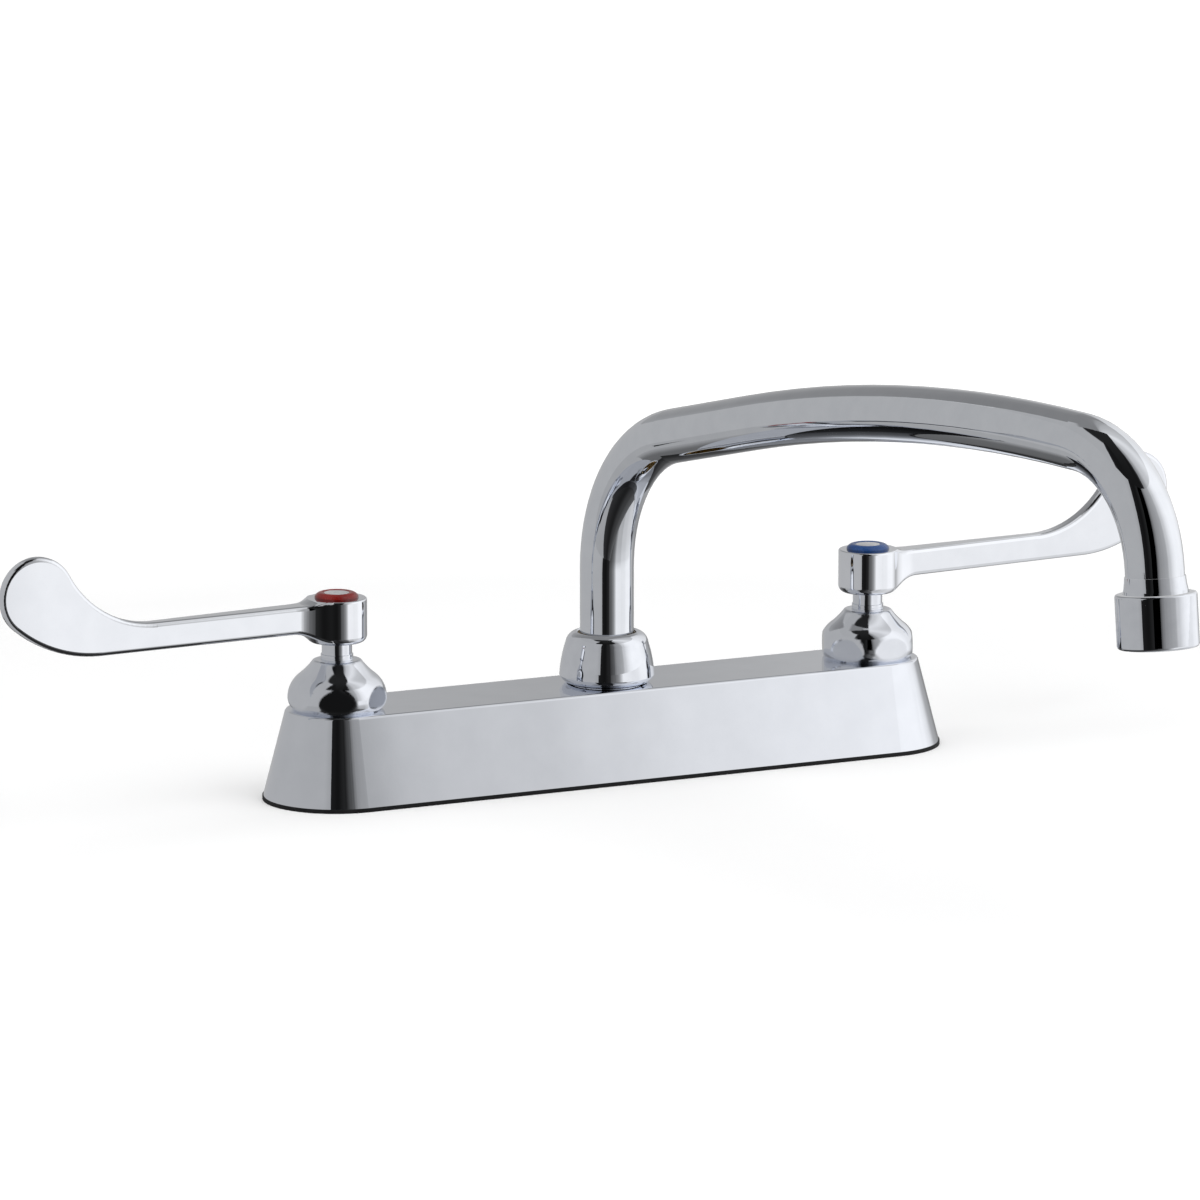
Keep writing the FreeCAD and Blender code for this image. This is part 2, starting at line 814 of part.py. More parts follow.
def aerator_shell():
    ledge = fitting_foot() + washer_ring_thickness + insert_flange
    mouth = ferrule_radius + hole_clearance
    thread = fitting_radius + thread_gap
    shell = spun_outline([
        (mouth, 0),
        (aerator_radius, 0),
        (aerator_radius, -aerator_length),
        (aerator_mouth_radius, -aerator_length),
        (aerator_mouth_radius, -ledge),
        (thread, -ledge),
        (thread, -aerator_rim),
        (mouth, -aerator_rim),
    ])
    shell = shell.makeFillet(aerator_rim_edge, [outer_edge(shell, 0)])
    return shell.makeFillet(aerator_foot_edge, [outer_edge(shell, -aerator_length)])


def outer_edge(shell, height):
    rims = level_edges(shell, height)
    return max(rims, key=lambda edge: edge.BoundBox.XLength)


def aerator_washer():
    high = -fitting_foot()
    low = high - washer_ring_thickness
    return ring(fitting_radius - running_gap, tube_radius - fitting_ledge, low, high)


def aerator_insert():
    high = -fitting_foot() - washer_ring_thickness
    ledge = high - insert_flange
    low = -aerator_length + insert_recess
    body_radius = aerator_mouth_radius - running_gap
    insert = rod(fitting_radius - running_gap, ledge, high)
    insert = insert.fuse(rod(body_radius, low, ledge))
    insert = insert.cut(rod(body_radius - insert_wall, low - 1, ledge))
    return insert.cut(jet_holes(ledge - 1, high + 1)).removeSplitter()


def jet_holes(low, high):
    holes = []
    for step in range(8):
        turn = math.radians(45 * step)
        hole = rod(screen_hole_radius, low, high)
        hole.translate(vec(math.cos(turn), math.sin(turn), 0) * 2 * screen_hole_pitch)
        holes.append(hole)
    return holes


def aerator_screen():
    low = -aerator_length + screen_recess
    high = low + screen_thickness
    screen = rod(aerator_mouth_radius - running_gap - insert_wall - seat_gap, low, high)
    holes = [rod(screen_hole_radius, low - 1, high + 1)]
    for circle, count in ((1, 6), (2, 12)):
        for step in range(count):
            turn = math.radians(360 * step / count)
            hole = rod(screen_hole_radius, low - 1, high + 1)
            hole.translate(vec(math.cos(turn), math.sin(turn), 0) * circle * screen_hole_pitch)
            holes.append(hole)
    return screen.cut(holes)


# Placing and writing

def moved(shape, x):
    copy = shape.copy()
    copy.translate(vec(x, 0, 0))
    return copy


def turned_spout(shape):
    shape.rotate(vec(0, 0, 0), vec(0, 0, 1), spout_yaw)
    return shape


def at_outlet(shape):
    route, rim = spout_route()
    shape.rotate(vec(0, 0, 0), vec(1, 0, 0), -outlet_lean)
    shape.translate(rim)
    return turned_spout(shape)


def pair(shape):
    return Part.makeCompound([moved(shape, -half_centres), moved(shape, half_centres)])


def valve_side(name, x, clock, swing, outward):
    blade = handle(swing)
    if outward < 0:
        blade = blade.mirror(vec(0, 0, 0), vec(1, 0, 0))
    pieces = {
        "inlet_shank": inlet_shank(),
        "seat_seal": seat_seal(),
        "cartridge_barrel": cartridge_barrel(),
        "fixed_disc": port_disc(seal_top),
        "moving_disc": moving_disc(),
        "stem": stem(),
        "stem_seal": stem_seal(),
        "stem_clip": stem_clip(),
        "bonnet": bonnet(clock),
        "handle": blade,
        "handle_screw": handle_screw(),
        "index_ring": index_ring(),
        "index_centre": index_centre(),
    }
    return {name + "_" + piece: moved(shape, x) for piece, shape in pieces.items()}


def assembly():
    nodes = {
        "deck_body": deck_body(),
        "base_gasket": base_gasket(),
        "shank_washers": pair(shank_washer()),
        "shank_lock_nuts": pair(lock_nut()),
        "spout_nut": spout_nut(),
        "spout_bearing_ring": spout_bearing_ring(),
        "spout_slip_ring": spout_slip_ring(),
        "spout_tube": turned_spout(spout_tube()),
        "spout_collar": turned_spout(spout_collar()),
        "spout_seals": turned_spout(spout_seals()),
        "outlet_fitting": at_outlet(outlet_fitting()),
        "aerator_shell": at_outlet(aerator_shell()),
        "aerator_washer": at_outlet(aerator_washer()),
        "aerator_insert": at_outlet(aerator_insert()),
        "aerator_screen": at_outlet(aerator_screen()),
    }
    nodes.update(valve_side("hot", -half_centres, hot_bonnet_clock, hot_handle_swing, -1))
    nodes.update(valve_side("cold", half_centres, cold_bonnet_clock, cold_handle_swing, 1))
    return nodes


def main():
    os.makedirs("parts", exist_ok=True)
    for node, shape in assembly().items():
        shape.exportStep("parts/" + node + ".step")
        box = shape.BoundBox
        print(node, len(shape.Solids), shape.isValid(), round(shape.Volume, 1),
              "z", round(box.ZMin, 2), round(box.ZMax, 2))


main()
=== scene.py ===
import bpy
import json
import math
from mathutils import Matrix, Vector

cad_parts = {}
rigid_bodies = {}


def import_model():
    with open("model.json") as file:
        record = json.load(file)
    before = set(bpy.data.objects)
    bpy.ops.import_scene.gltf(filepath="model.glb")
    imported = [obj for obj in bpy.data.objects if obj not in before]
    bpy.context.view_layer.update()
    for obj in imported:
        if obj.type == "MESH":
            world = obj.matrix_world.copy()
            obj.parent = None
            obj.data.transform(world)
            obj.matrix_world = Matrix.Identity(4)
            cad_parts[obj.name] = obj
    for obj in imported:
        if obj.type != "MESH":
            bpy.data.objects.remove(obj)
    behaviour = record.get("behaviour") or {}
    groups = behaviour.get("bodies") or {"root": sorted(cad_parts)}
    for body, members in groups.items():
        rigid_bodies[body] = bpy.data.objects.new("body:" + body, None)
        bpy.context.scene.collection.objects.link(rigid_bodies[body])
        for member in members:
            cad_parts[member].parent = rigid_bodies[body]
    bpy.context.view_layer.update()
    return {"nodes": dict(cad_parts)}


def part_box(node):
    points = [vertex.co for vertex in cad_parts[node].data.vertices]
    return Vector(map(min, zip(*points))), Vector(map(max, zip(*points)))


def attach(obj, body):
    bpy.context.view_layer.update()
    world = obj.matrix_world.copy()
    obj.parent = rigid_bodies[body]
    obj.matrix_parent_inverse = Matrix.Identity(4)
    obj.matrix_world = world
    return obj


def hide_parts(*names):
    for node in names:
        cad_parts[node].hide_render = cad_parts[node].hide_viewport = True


# an empty file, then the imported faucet
for leftover in list(bpy.data.objects):
    bpy.data.objects.remove(leftover)
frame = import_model()
nodes = frame["nodes"]
print("faucet loaded with", len(nodes), "nodes")


# camera: three quarter view from the front left, a little above the deck
photoView = {
    "swing": 26.279,      # degrees round to the left
    "rise": 10.885,       # degrees up
    "distance": 2.52198,
    "aim": (-0.002621, 0.0, 0.059733),
    "lens": 220.61,
    "sensor": 36.0,
    "farthest": 60.0,
}


def aroundDeck(swing, rise, distance):
    swing = math.radians(swing)
    rise = math.radians(rise)
    flat = distance * math.cos(rise)
    return Vector((flat * math.sin(swing), -flat * math.cos(swing), distance * math.sin(rise)))


def placeCamera(view):
    data = bpy.data.cameras.new("photoCamera")
    data.lens = view["lens"]
    data.sensor_width = view["sensor"]
    data.clip_end = view["farthest"]
    camera = bpy.data.objects.new("photoCamera", data)
    bpy.context.scene.collection.objects.link(camera)
    aim = Vector(view["aim"])
    camera.location = aim + aroundDeck(-view["swing"], view["rise"], view["distance"])
    camera.rotation_euler = (aim - camera.location).to_track_quat("-Z", "Y").to_euler()
    bpy.context.scene.camera = camera


placeCamera(photoView)
print("camera placed")


# small helpers for node trees
noiseLow, noiseHigh = 0.3, 0.7     # most of a noise value lies between these
toolMarks = {"waver": 0.6, "detail": 2.0, "waveFactor": 20.0}     # Blender's wave has this factor built in


def startMaterial(name):
    material = bpy.data.materials.new(name)
    material.use_nodes = True
    tree = material.node_tree
    shader = tree.nodes["Principled BSDF"]
    place = tree.nodes.new("ShaderNodeTexCoord").outputs["Object"]
    return material, tree, shader, place


def cloudy(tree, place, scale, detail=3.0, roughness=0.5):
    noise = tree.nodes.new("ShaderNodeTexNoise")
    noise.inputs["Scale"].default_value = scale
    noise.inputs["Detail"].default_value = detail
    noise.inputs["Roughness"].default_value = roughness
    tree.links.new(place, noise.inputs["Vector"])
    return noise.outputs["Fac"]


def between(tree, value, low, high):
    spread = tree.nodes.new("ShaderNodeMapRange")
    spread.inputs["From Min"].default_value = noiseLow
    spread.inputs["From Max"].default_value = noiseHigh
    spread.inputs["To Min"].default_value = low
    spread.inputs["To Max"].default_value = high
    tree.links.new(value, spread.inputs["Value"])
    return spread.outputs["Result"]


def twoTone(tree, value, dark, light):
    ramp = tree.nodes.new("ShaderNodeValToRGB")
    ramp.color_ramp.elements[0].position = noiseLow
    ramp.color_ramp.elements[0].color = (*dark, 1.0)
    ramp.color_ramp.elements[1].position = noiseHigh
    ramp.color_ramp.elements[1].color = (*light, 1.0)
    tree.links.new(value, ramp.inputs["Fac"])
    return ramp.outputs["Color"]


def relief(tree, value, depth, under=None):
    bump = tree.nodes.new("ShaderNodeBump")
    bump.inputs["Strength"].default_value = 1.0
    bump.inputs["Distance"].default_value = depth
    tree.links.new(value, bump.inputs["Height"])
    if under is not None:
        tree.links.new(under, bump.inputs["Normal"])
    return bump.outputs["Normal"]


def lathed(tree, place, lines, along="Z"):
    wave = tree.nodes.new("ShaderNodeTexWave")
    wave.wave_type = "BANDS"
    wave.bands_direction = along
    wave.inputs["Scale"].default_value = lines / toolMarks["waveFactor"]
    wave.inputs["Distortion"].default_value = toolMarks["waver"]
    wave.inputs["Detail"].default_value = toolMarks["detail"]
    tree.links.new(place, wave.inputs["Vector"])
    return wave.outputs["Fac"]


# chrome plate on the body casting, bonnets, handles, spout tube and turned pieces
castPlate = {
    "dark": (0.770, 0.793, 0.845), "light": (0.808, 0.831, 0.884),
    "smooth": 0.010, "hazy": 0.030,
    "swirl": 22.0, "swirlDepth": 0.00003, "grit": 900.0, "gritDepth": 0.0000006,
}
bonnetPlate = {
    "dark": (0.765, 0.788, 0.840), "light": (0.808, 0.831, 0.884),
    "smooth": 0.015, "hazy": 0.040, "soften": 0.0018,
    "swirl": 40.0, "swirlDepth": 0.00003, "grit": 900.0, "gritDepth": 0.0000006,
}
# the handles' chrome is lighter than the rest of the plating: painted light, for the extra light the handle
# arms catch
litHandlePlate = {
    "dark": (0.835, 0.855, 0.900), "light": (0.870, 0.890, 0.935),
    "smooth": 0.012, "hazy": 0.035,
    "swirl": 30.0, "swirlDepth": 0.00003, "grit": 900.0, "gritDepth": 0.0000006,
}
tubePlate = {
    "dark": (0.770, 0.793, 0.840), "light": (0.808, 0.831, 0.876),
    "smooth": 0.012, "hazy": 0.035,
    "swirl": 38.0, "swirlDepth": 0.00003, "grit": 700.0, "gritDepth": 0.0000008,
}
turnedPlate = {
    "dark": (0.765, 0.788, 0.840), "light": (0.815, 0.838, 0.890),
    "smooth": 0.015, "hazy": 0.045,
    "swirl": 60.0, "swirlDepth": 0.00001, "lines": 2600.0, "linesDepth": 0.0000008,
}
polish = {
    "swirlDetail": 1.5, "swirlRoughness": 0.4,
    "hazeFiner": 4.0, "hazeDetail": 4.0,     # haze is this many times finer than the swirl
    "gritDetail": 2.0, "softenSamples": 8,
}


def chromePlate(name, look):
    material, tree, shader, place = startMaterial(name)
    shader.inputs["Metallic"].default_value = 1.0
    handPolish = cloudy(tree, place, look["swirl"], polish["swirlDetail"], polish["swirlRoughness"])
    haze = cloudy(tree, place, look["swirl"] * polish["hazeFiner"], polish["hazeDetail"])
    tree.links.new(twoTone(tree, haze, look["dark"], look["light"]), shader.inputs["Base Color"])
    tree.links.new(between(tree, haze, look["smooth"], look["hazy"]), shader.inputs["Roughness"])
    worn = None
    if "soften" in look:
        rounded = tree.nodes.new("ShaderNodeBevel")
        rounded.samples = polish["softenSamples"]
        rounded.inputs["Radius"].default_value = look["soften"]
        worn = rounded.outputs["Normal"]
    normal = relief(tree, handPolish, look["swirlDepth"], worn)
    if "lines" in look:
        normal = relief(tree, lathed(tree, place, look["lines"]), look["linesDepth"], normal)
    else:
        grit = cloudy(tree, place, look["grit"], polish["gritDetail"])
        normal = relief(tree, grit, look["gritDepth"], normal)
    tree.links.new(normal, shader.inputs["Normal"])
    return material


# bare metals below the deck and inside the valves
bareBrass = {
    "dark": (0.46, 0.30, 0.10), "light": (0.66, 0.47, 0.19),
    "smooth": 0.22, "dull": 0.42, "lines": 1900.0, "linesDepth": 0.000006,
}
zincSteel = {
    "dark": (0.42, 0.44, 0.46), "light": (0.62, 0.63, 0.62),
    "smooth": 0.28, "dull": 0.46, "lines": 1500.0, "linesDepth": 0.000004,
}
wovenSteel = {
    "dark": (0.38, 0.39, 0.40), "light": (0.60, 0.61, 0.62),
    "smooth": 0.22, "dull": 0.38, "lines": 3200.0, "linesDepth": 0.00003,
}
bareSkin = {
    "stain": 70.0, "stainDetail": 6.0, "stainRoughness": 0.62,
    "pits": 1400.0, "pitDetail": 3.0, "pitDepth": 0.000008,
}


def bareMetal(name, look, along="Z"):
    material, tree, shader, place = startMaterial(name)
    shader.inputs["Metallic"].default_value = 1.0
    stain = cloudy(tree, place, bareSkin["stain"], bareSkin["stainDetail"], bareSkin["stainRoughness"])
    tree.links.new(twoTone(tree, stain, look["dark"], look["light"]), shader.inputs["Base Color"])
    tree.links.new(between(tree, stain, look["smooth"], look["dull"]), shader.inputs["Roughness"])
    normal = relief(tree, lathed(tree, place, look["lines"], along), look["linesDepth"])
    pits = cloudy(tree, place, bareSkin["pits"], bareSkin["pitDetail"])
    tree.links.new(relief(tree, pits, bareSkin["pitDepth"], normal), shader.inputs["Normal"])
    return material


# rubber, plastics and ceramic
blackRubber = {
    "dark": (0.006, 0.006, 0.007), "light": (0.016, 0.016, 0.017),
    "smooth": 0.50, "dull": 0.72, "grain": 1800.0, "grainDepth": 0.00005, "gloss": 0.2,
}
whiteAcetal = {
    "dark": (0.70, 0.70, 0.67), "light": (0.80, 0.80, 0.78),
    "smooth": 0.34, "dull": 0.48, "grain": 900.0, "grainDepth": 0.00001, "gloss": 0.5,
}
whiteCeramic = {
    "dark": (0.74, 0.73, 0.70), "light": (0.82, 0.81, 0.79),
    "smooth": 0.12, "dull": 0.22, "grain": 2400.0, "grainDepth": 0.000004, "gloss": 0.6,
}
hotRed = {
    "dark": (0.13, 0.004, 0.003), "light": (0.21, 0.006, 0.004),
    "smooth": 0.16, "dull": 0.32, "grain": 1100.0, "grainDepth": 0.00001, "gloss": 0.5,
}
coldBlue = {
    "dark": (0.006, 0.034, 0.13), "light": (0.012, 0.060, 0.21),
    "smooth": 0.16, "dull": 0.32, "grain": 1100.0, "grainDepth": 0.00001, "gloss": 0.5,
}
paleButton = {
    "dark": (0.32, 0.32, 0.33), "light": (0.46, 0.46, 0.47),
    "smooth": 0.16, "dull": 0.30, "grain": 1000.0, "grainDepth": 0.00001, "gloss": 0.5,
}
mouldSkin = {"blotch": 160.0, "blotchDetail": 5.0, "blotchRoughness": 0.6, "grainDetail": 3.0}


def mouldedFinish(name, look):
    material, tree, shader, place = startMaterial(name)
    shader.inputs["Specular IOR Level"].default_value = look["gloss"]
    blotch = cloudy(tree, place, mouldSkin["blotch"], mouldSkin["blotchDetail"], mouldSkin["blotchRoughness"])
    tree.links.new(twoTone(tree, blotch, look["dark"], look["light"]), shader.inputs["Base Color"])
    tree.links.new(between(tree, blotch, look["smooth"], look["dull"]), shader.inputs["Roughness"])
    grain = cloudy(tree, place, look["grain"], mouldSkin["grainDetail"])
    tree.links.new(relief(tree, grain, look["grainDepth"]), shader.inputs["Normal"])
    return material


bonnetChrome = chromePlate("bonnetChrome", bonnetPlate)
litHandleChrome = chromePlate("litHandleChrome", litHandlePlate)
tubeChrome = chromePlate("tubeChrome", tubePlate)
turnedChrome = chromePlate("turnedChrome", turnedPlate)
brass = bareMetal("turnedBrass", bareBrass)
finishes = {
    "polished_chrome": chromePlate("castChrome", castPlate),
    "bare_brass": brass,
    "zinc_steel": bareMetal("zincSteel", zincSteel),
    "stainless_screen": bareMetal("screenSteel", wovenSteel, "X"),
    "black_rubber": mouldedFinish("blackRubber", blackRubber),
    "white_acetal": mouldedFinish("whiteAcetal", whiteAcetal),
    "white_ceramic": mouldedFinish("whiteCeramic", whiteCeramic),
    "hot_red": mouldedFinish("hotRed", hotRed),
    "cold_blue": mouldedFinish("coldBlue", coldBlue),
    "index_pale": mouldedFinish("paleButton", paleButton),
}
turnedNodes = [
    "hot_stem", "cold_stem", "hot_stem_clip", "cold_stem_clip",
    "aerator_shell", "outlet_fitting", "spout_nut",
]
for name, node in nodes.items():
    finish = finishes[node.material_slots[0].material.name.split(".")[0]]
    if name in turnedNodes:
        finish = turnedChrome
    if name == "spout_tube":
        finish = tubeChrome
    if name.endswith("_bonnet"):
        finish = bonnetChrome
    if name.endswith("_handle"):
        finish = litHandleChrome
    node.material_slots[0].material = finish

# kept out of mirror rays, so that the body's front stays plain and nothing below the deck shows in it
unmirrored = [
    "spout_tube", "aerator_shell", "aerator_insert", "aerator_screen", "aerator_washer", "outlet_fitting",
    "shank_washers",
]
for name in unmirrored:
    nodes[name].visible_glossy = False
print("finishes on every node")


# mesh helpers, then the threaded parts
def meshPiece(name, points, faces, material, sharpAt=35.0):
    mesh = bpy.data.meshes.new(name)
    mesh.from_pydata(points, [], faces)
    mesh.validate()
    mesh.materials.append(material)
    piece = bpy.data.objects.new(name, mesh)
    bpy.context.scene.collection.objects.link(piece)
    mesh.shade_smooth()
    mesh.set_sharp_from_angle(angle=math.radians(sharpAt))
    return piece


def joinRings(rings, around):
    faces = []
    count = len(rings)
    for row in range(count):
        low = row * around
        high = ((row + 1) % count) * around
        for step in range(around):
            after = (step + 1) % around
            faces.append((low + step, low + after, high + after, high + step))
    return faces


inletThread = {
    "pitch": 0.001814,
    "depth": 0.0009,
    "rowsPerTurn": 8,
    "around": 40,
    "flankSlope": 1.3,        # steepness of the flanks, with a narrow flat at the crest
    "crestFlat": 0.12,
    "endRadius": 0.0100,
    "endLength": 0.020,
    "bore": 0.0062,
    "chamfer": 0.0008,
    "sharpAt": 50.0,
}


def threadedShank(name, node, look):
    low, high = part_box(node)
    centre = (low + high) / 2.0
    radius = (high.x - low.x) / 2.0
    around = look["around"]
    shoulder = low.z + look["endLength"]
    step = look["pitch"] / look["rowsPerTurn"]
    heights = []
    for bottom, top, crest in ((low.z, shoulder, look["endRadius"]), (shoulder, high.z, radius)):
        height = bottom
        while height < top:
            heights.append((height, crest))
            height += step
        heights.append((top, crest))
    rings = []
    for height, crest in heights:
        ring = []
        for side in range(around):
            turn = (height / look["pitch"] - side / around) % 1.0
            slope = abs(2.0 * turn - 1.0) * look["flankSlope"] - look["crestFlat"]
            flank = min(1.0, max(0.0, slope))
            reach = crest - look["depth"] * flank
            reach = min(reach, crest - look["chamfer"] + height - low.z)
            ring.append((side, reach, height))
        rings.append(ring)
    rings.append([(side, look["bore"], high.z) for side in range(around)])
    rings.append([(side, look["bore"], low.z) for side in range(around)])
    points = []
    for ring in rings:
        for side, reach, height in ring:
            angle = 2.0 * math.pi * side / around
            points.append((centre.x + reach * math.cos(angle), centre.y + reach * math.sin(angle), height))
    shank = meshPiece(name, points, joinRings(rings, around), brass, look["sharpAt"])
    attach(shank, "base")
    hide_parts(node)
    shank.visible_glossy = False


threadedShank("hotThreadedShank", "hot_inlet_shank", inletThread)
threadedShank("coldThreadedShank", "cold_inlet_shank", inletThread)

lockNut = {
    "flats": 0.030,
    "bore": 0.01060,
    "boreBevel": 0.0007,
    "cornerStart": 0.0143,     # where the corner chamfer begins
    "cornerSlope": 30.0,
    "around": 120,
    "sharpAt": 24.0,
}


def lockNutPair(name, node, look):
    low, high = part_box(node)
    around = look["around"]
    halfFlats = look["flats"] / 2.0
    slope = math.tan(math.radians(look["cornerSlope"]))
    corner = look["cornerStart"]
    bore = look["bore"]
    bevel = look["boreBevel"]
    sixth = math.pi / 3.0     # one side of the hexagon
    profile = []
    for side in range(around):
        angle = 2.0 * math.pi * side / around
        fromFlat = (angle + sixth / 2.0) % sixth - sixth / 2.0
        outer = halfFlats / math.cos(fromFlat)
        drop = max(0.0, outer - corner) * slope
        profile.append((angle, outer, drop))
    rings = [
        [(bore + bevel, high.z)] * around,
        [(corner, high.z)] * around,
        [(outer, high.z - drop) for angle, outer, drop in profile],
        [(outer, low.z + drop) for angle, outer, drop in profile],
        [(corner, low.z)] * around,
        [(bore + bevel, low.z)] * around,
        [(bore, low.z + bevel)] * around,
        [(bore, high.z - bevel)] * around,
    ]
    points = []
    faces = []
    for centre in (low.x + halfFlats, high.x - halfFlats):
        start = len(points)
        for ring in rings:
            for (reach, height), (angle, outer, drop) in zip(ring, profile):
                points.append((centre + reach * math.cos(angle), reach * math.sin(angle), height))
        for face in joinRings(rings, around):
            faces.append(tuple(spot + start for spot in reversed(face)))
    pair = meshPiece(name, points, faces, brass, look["sharpAt"])
    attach(pair, "base")
    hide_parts(node)
    pair.visible_glossy = False


lockNutPair("lockNutPair", "shank_lock_nuts", lockNut)
print("threaded shanks and lock nuts made")


# deck the faucet stands on: pale, and white to the camera away from the shadow
paleDeck = {
    "half": 4.0,
    "dark": (0.78, 0.78, 0.78), "light": (0.82, 0.82, 0.82),
    "mottle": 3.0, "rough": 0.9,
    "liftNear": 0.14, "liftFar": 0.70,     # added for camera, glossy and transmission rays
    "near": 0.35, "far": 1.2,              # distances from the middle where the lift starts and stops rising
}


def seenDirectly(tree):
    path = tree.nodes.new("ShaderNodeLightPath")
    seen = path.outputs["Is Camera Ray"]
    for ray in ("Is Glossy Ray", "Is Transmission Ray"):
        either = tree.nodes.new("ShaderNodeMath")
        either.operation = "MAXIMUM"
        tree.links.new(seen, either.inputs[0])
        tree.links.new(path.outputs[ray], either.inputs[1])
        seen = either.outputs["Value"]
    return seen


def layDeck(look):
    material, tree, shader, place = startMaterial("paleDeck")
    shader.inputs["Roughness"].default_value = look["rough"]
    shader.inputs["Specular IOR Level"].default_value = 0.0
    mottle = cloudy(tree, place, look["mottle"])
    tree.links.new(twoTone(tree, mottle, look["dark"], look["light"]), shader.inputs["Base Color"])
    shader.inputs["Emission Color"].default_value = (1.0, 1.0, 1.0, 1.0)
    away = tree.nodes.new("ShaderNodeVectorMath")
    away.operation = "LENGTH"
    tree.links.new(place, away.inputs[0])
    rising = tree.nodes.new("ShaderNodeMapRange")
    rising.inputs["From Min"].default_value = look["near"]
    rising.inputs["From Max"].default_value = look["far"]
    rising.inputs["To Min"].default_value = look["liftNear"]
    rising.inputs["To Max"].default_value = look["liftFar"]
    tree.links.new(away.outputs["Value"], rising.inputs["Value"])
    lift = tree.nodes.new("ShaderNodeMath")
    lift.operation = "MULTIPLY"
    tree.links.new(seenDirectly(tree), lift.inputs[0])
    tree.links.new(rising.outputs["Result"], lift.inputs[1])
    tree.links.new(lift.outputs["Value"], shader.inputs["Emission Strength"])
    half = look["half"]
    corners = [(-half, -half, 0.0), (half, -half, 0.0), (half, half, 0.0), (-half, half, 0.0)]
    deck = meshPiece("deckFloor", corners, [(0, 1, 2, 3)], material)
    deck.visible_glossy = False


layDeck(paleDeck)


# reflector cards round the faucet, out of the camera's sight, for the metal to mirror
# angles run from the camera's side, positive to its right
cardRing = 0.70
cardSpans = 48
wedgeTip = 0.005      # the ceiling and the pit are wedges from here out to the ring
pitLevel, footLevel, splitLevel, ceilingLevel = -0.17, -0.10, 0.07, 0.80
gapLeft, gapRight, frontRight, rightBack = -16, 8.5, 62, 118
gapLeftLow, gapRightHigh, midRight = -20, 5.5, 18
leftShoulder, backShoulder = -133, 150

# (angle, height) along a card's sloping edge
leftEdge = [(-180, 0.26), (-150, 0.29), (-139, 0.37), (leftShoulder, ceilingLevel), (gapLeft, ceilingLevel)]
backEdge = [(backShoulder, ceilingLevel), (164, 0.36), (180, 0.26)]

# (place along the card, brightness)
leftGrade = [(0.0, 0.43), (0.12, 0.48), (0.60, 0.48), (0.93, 0.47), (1.0, 0.41)]
gapGrade = [(0.0, 0.03), (0.06, 0.012), (0.5, 0.008), (1.0, 0.02)]
frontGrade = [(0.0, 0.03), (0.05, 0.09), (0.20, 0.14), (0.32, 0.24),
              (0.41, 0.36), (0.50, 0.64), (0.59, 0.98), (1.0, 0.96)]
frontHighGrade = [(0.0, 0.10), (0.10, 0.24), (0.18, 0.32), (0.32, 0.37), (0.46, 0.42), (0.555, 0.465),
                  (0.60, 0.62), (0.64, 0.67), (0.70, 0.69), (0.76, 0.78), (0.835, 0.885), (0.925, 0.97),
                  (1.0, 1.04)]
rightGrade = [(0.0, 0.93), (0.3, 0.95), (0.55, 1.06), (0.8, 1.08), (1.0, 0.95)]

# the foot cards are darkened towards the pit: painted shade of the faucet on the deck, as the metal mirrors
# it
wallCards = [
    {"name": "gapLow", "start": gapLeftLow, "end": gapRight, "low": pitLevel, "high": splitLevel,
     "levels": gapGrade},
    {"name": "gapHigh", "start": gapLeft, "end": gapRightHigh, "low": splitLevel, "high": ceilingLevel,
     "levels": gapGrade},
    {"name": "leftLow", "start": -180, "end": gapLeftLow, "low": pitLevel, "high": splitLevel,
     "levels": leftGrade},
    {"name": "leftHigh", "start": -180, "end": gapLeft, "low": splitLevel, "high": leftEdge,
     "levels": leftGrade},
    {"name": "leftUpper", "start": -180, "end": leftShoulder, "low": leftEdge, "high": ceilingLevel,
     "axis": "Y", "levels": [(0.0, 0.37), (0.5, 0.28), (1.0, 0.25)]},
    {"name": "frontLow", "start": gapRight, "end": frontRight, "low": footLevel, "high": splitLevel,
     "levels": frontGrade},
    {"name": "frontFoot", "start": gapRight, "end": frontRight, "low": pitLevel, "high": footLevel,
     "levels": frontGrade, "nearShade": [(0.0, 0.66), (1.0, 1.0)]},
    {"name": "frontMid", "start": gapRightHigh, "end": midRight, "low": splitLevel, "high": ceilingLevel,
     "lights": ["deck_body", "spout_nut"], "levels": [(0.0, 0.015), (0.72, 0.085), (1.0, 0.12)]},
    {"name": "frontHigh", "start": midRight, "end": frontRight, "low": splitLevel, "high": ceilingLevel,
     "levels": frontHighGrade},
    {"name": "rightLow", "start": frontRight, "end": rightBack, "low": footLevel, "high": splitLevel,
     "levels": rightGrade},
    {"name": "rightFoot", "start": frontRight, "end": rightBack, "low": pitLevel, "high": footLevel,
     "levels": rightGrade, "nearShade": [(0.0, 0.80), (1.0, 1.0)]},
    {"name": "rightHigh", "start": frontRight, "end": rightBack, "low": splitLevel, "high": ceilingLevel,
     "levels": [(0.0, 1.04), (0.15, 1.11), (0.6, 1.11), (0.8, 1.05), (1.0, 0.95)]},
    {"name": "backLow", "start": rightBack, "end": 180, "low": pitLevel, "high": splitLevel,
     "levels": [(0.0, 0.90), (0.25, 0.45), (0.6, 0.28), (1.0, 0.42)]},
    {"name": "backHigh", "start": rightBack, "end": 180, "low": splitLevel,
     "high": [(rightBack, ceilingLevel)] + backEdge,
     "levels": [(0.0, 0.95), (0.4, 0.85), (0.8, 0.52), (1.0, 0.43)]},
    {"name": "backUpper", "start": backShoulder, "end": 180, "low": backEdge, "high": ceilingLevel,
     "axis": "Y", "levels": [(0.0, 0.40), (0.5, 0.29), (1.0, 0.25)]},
]
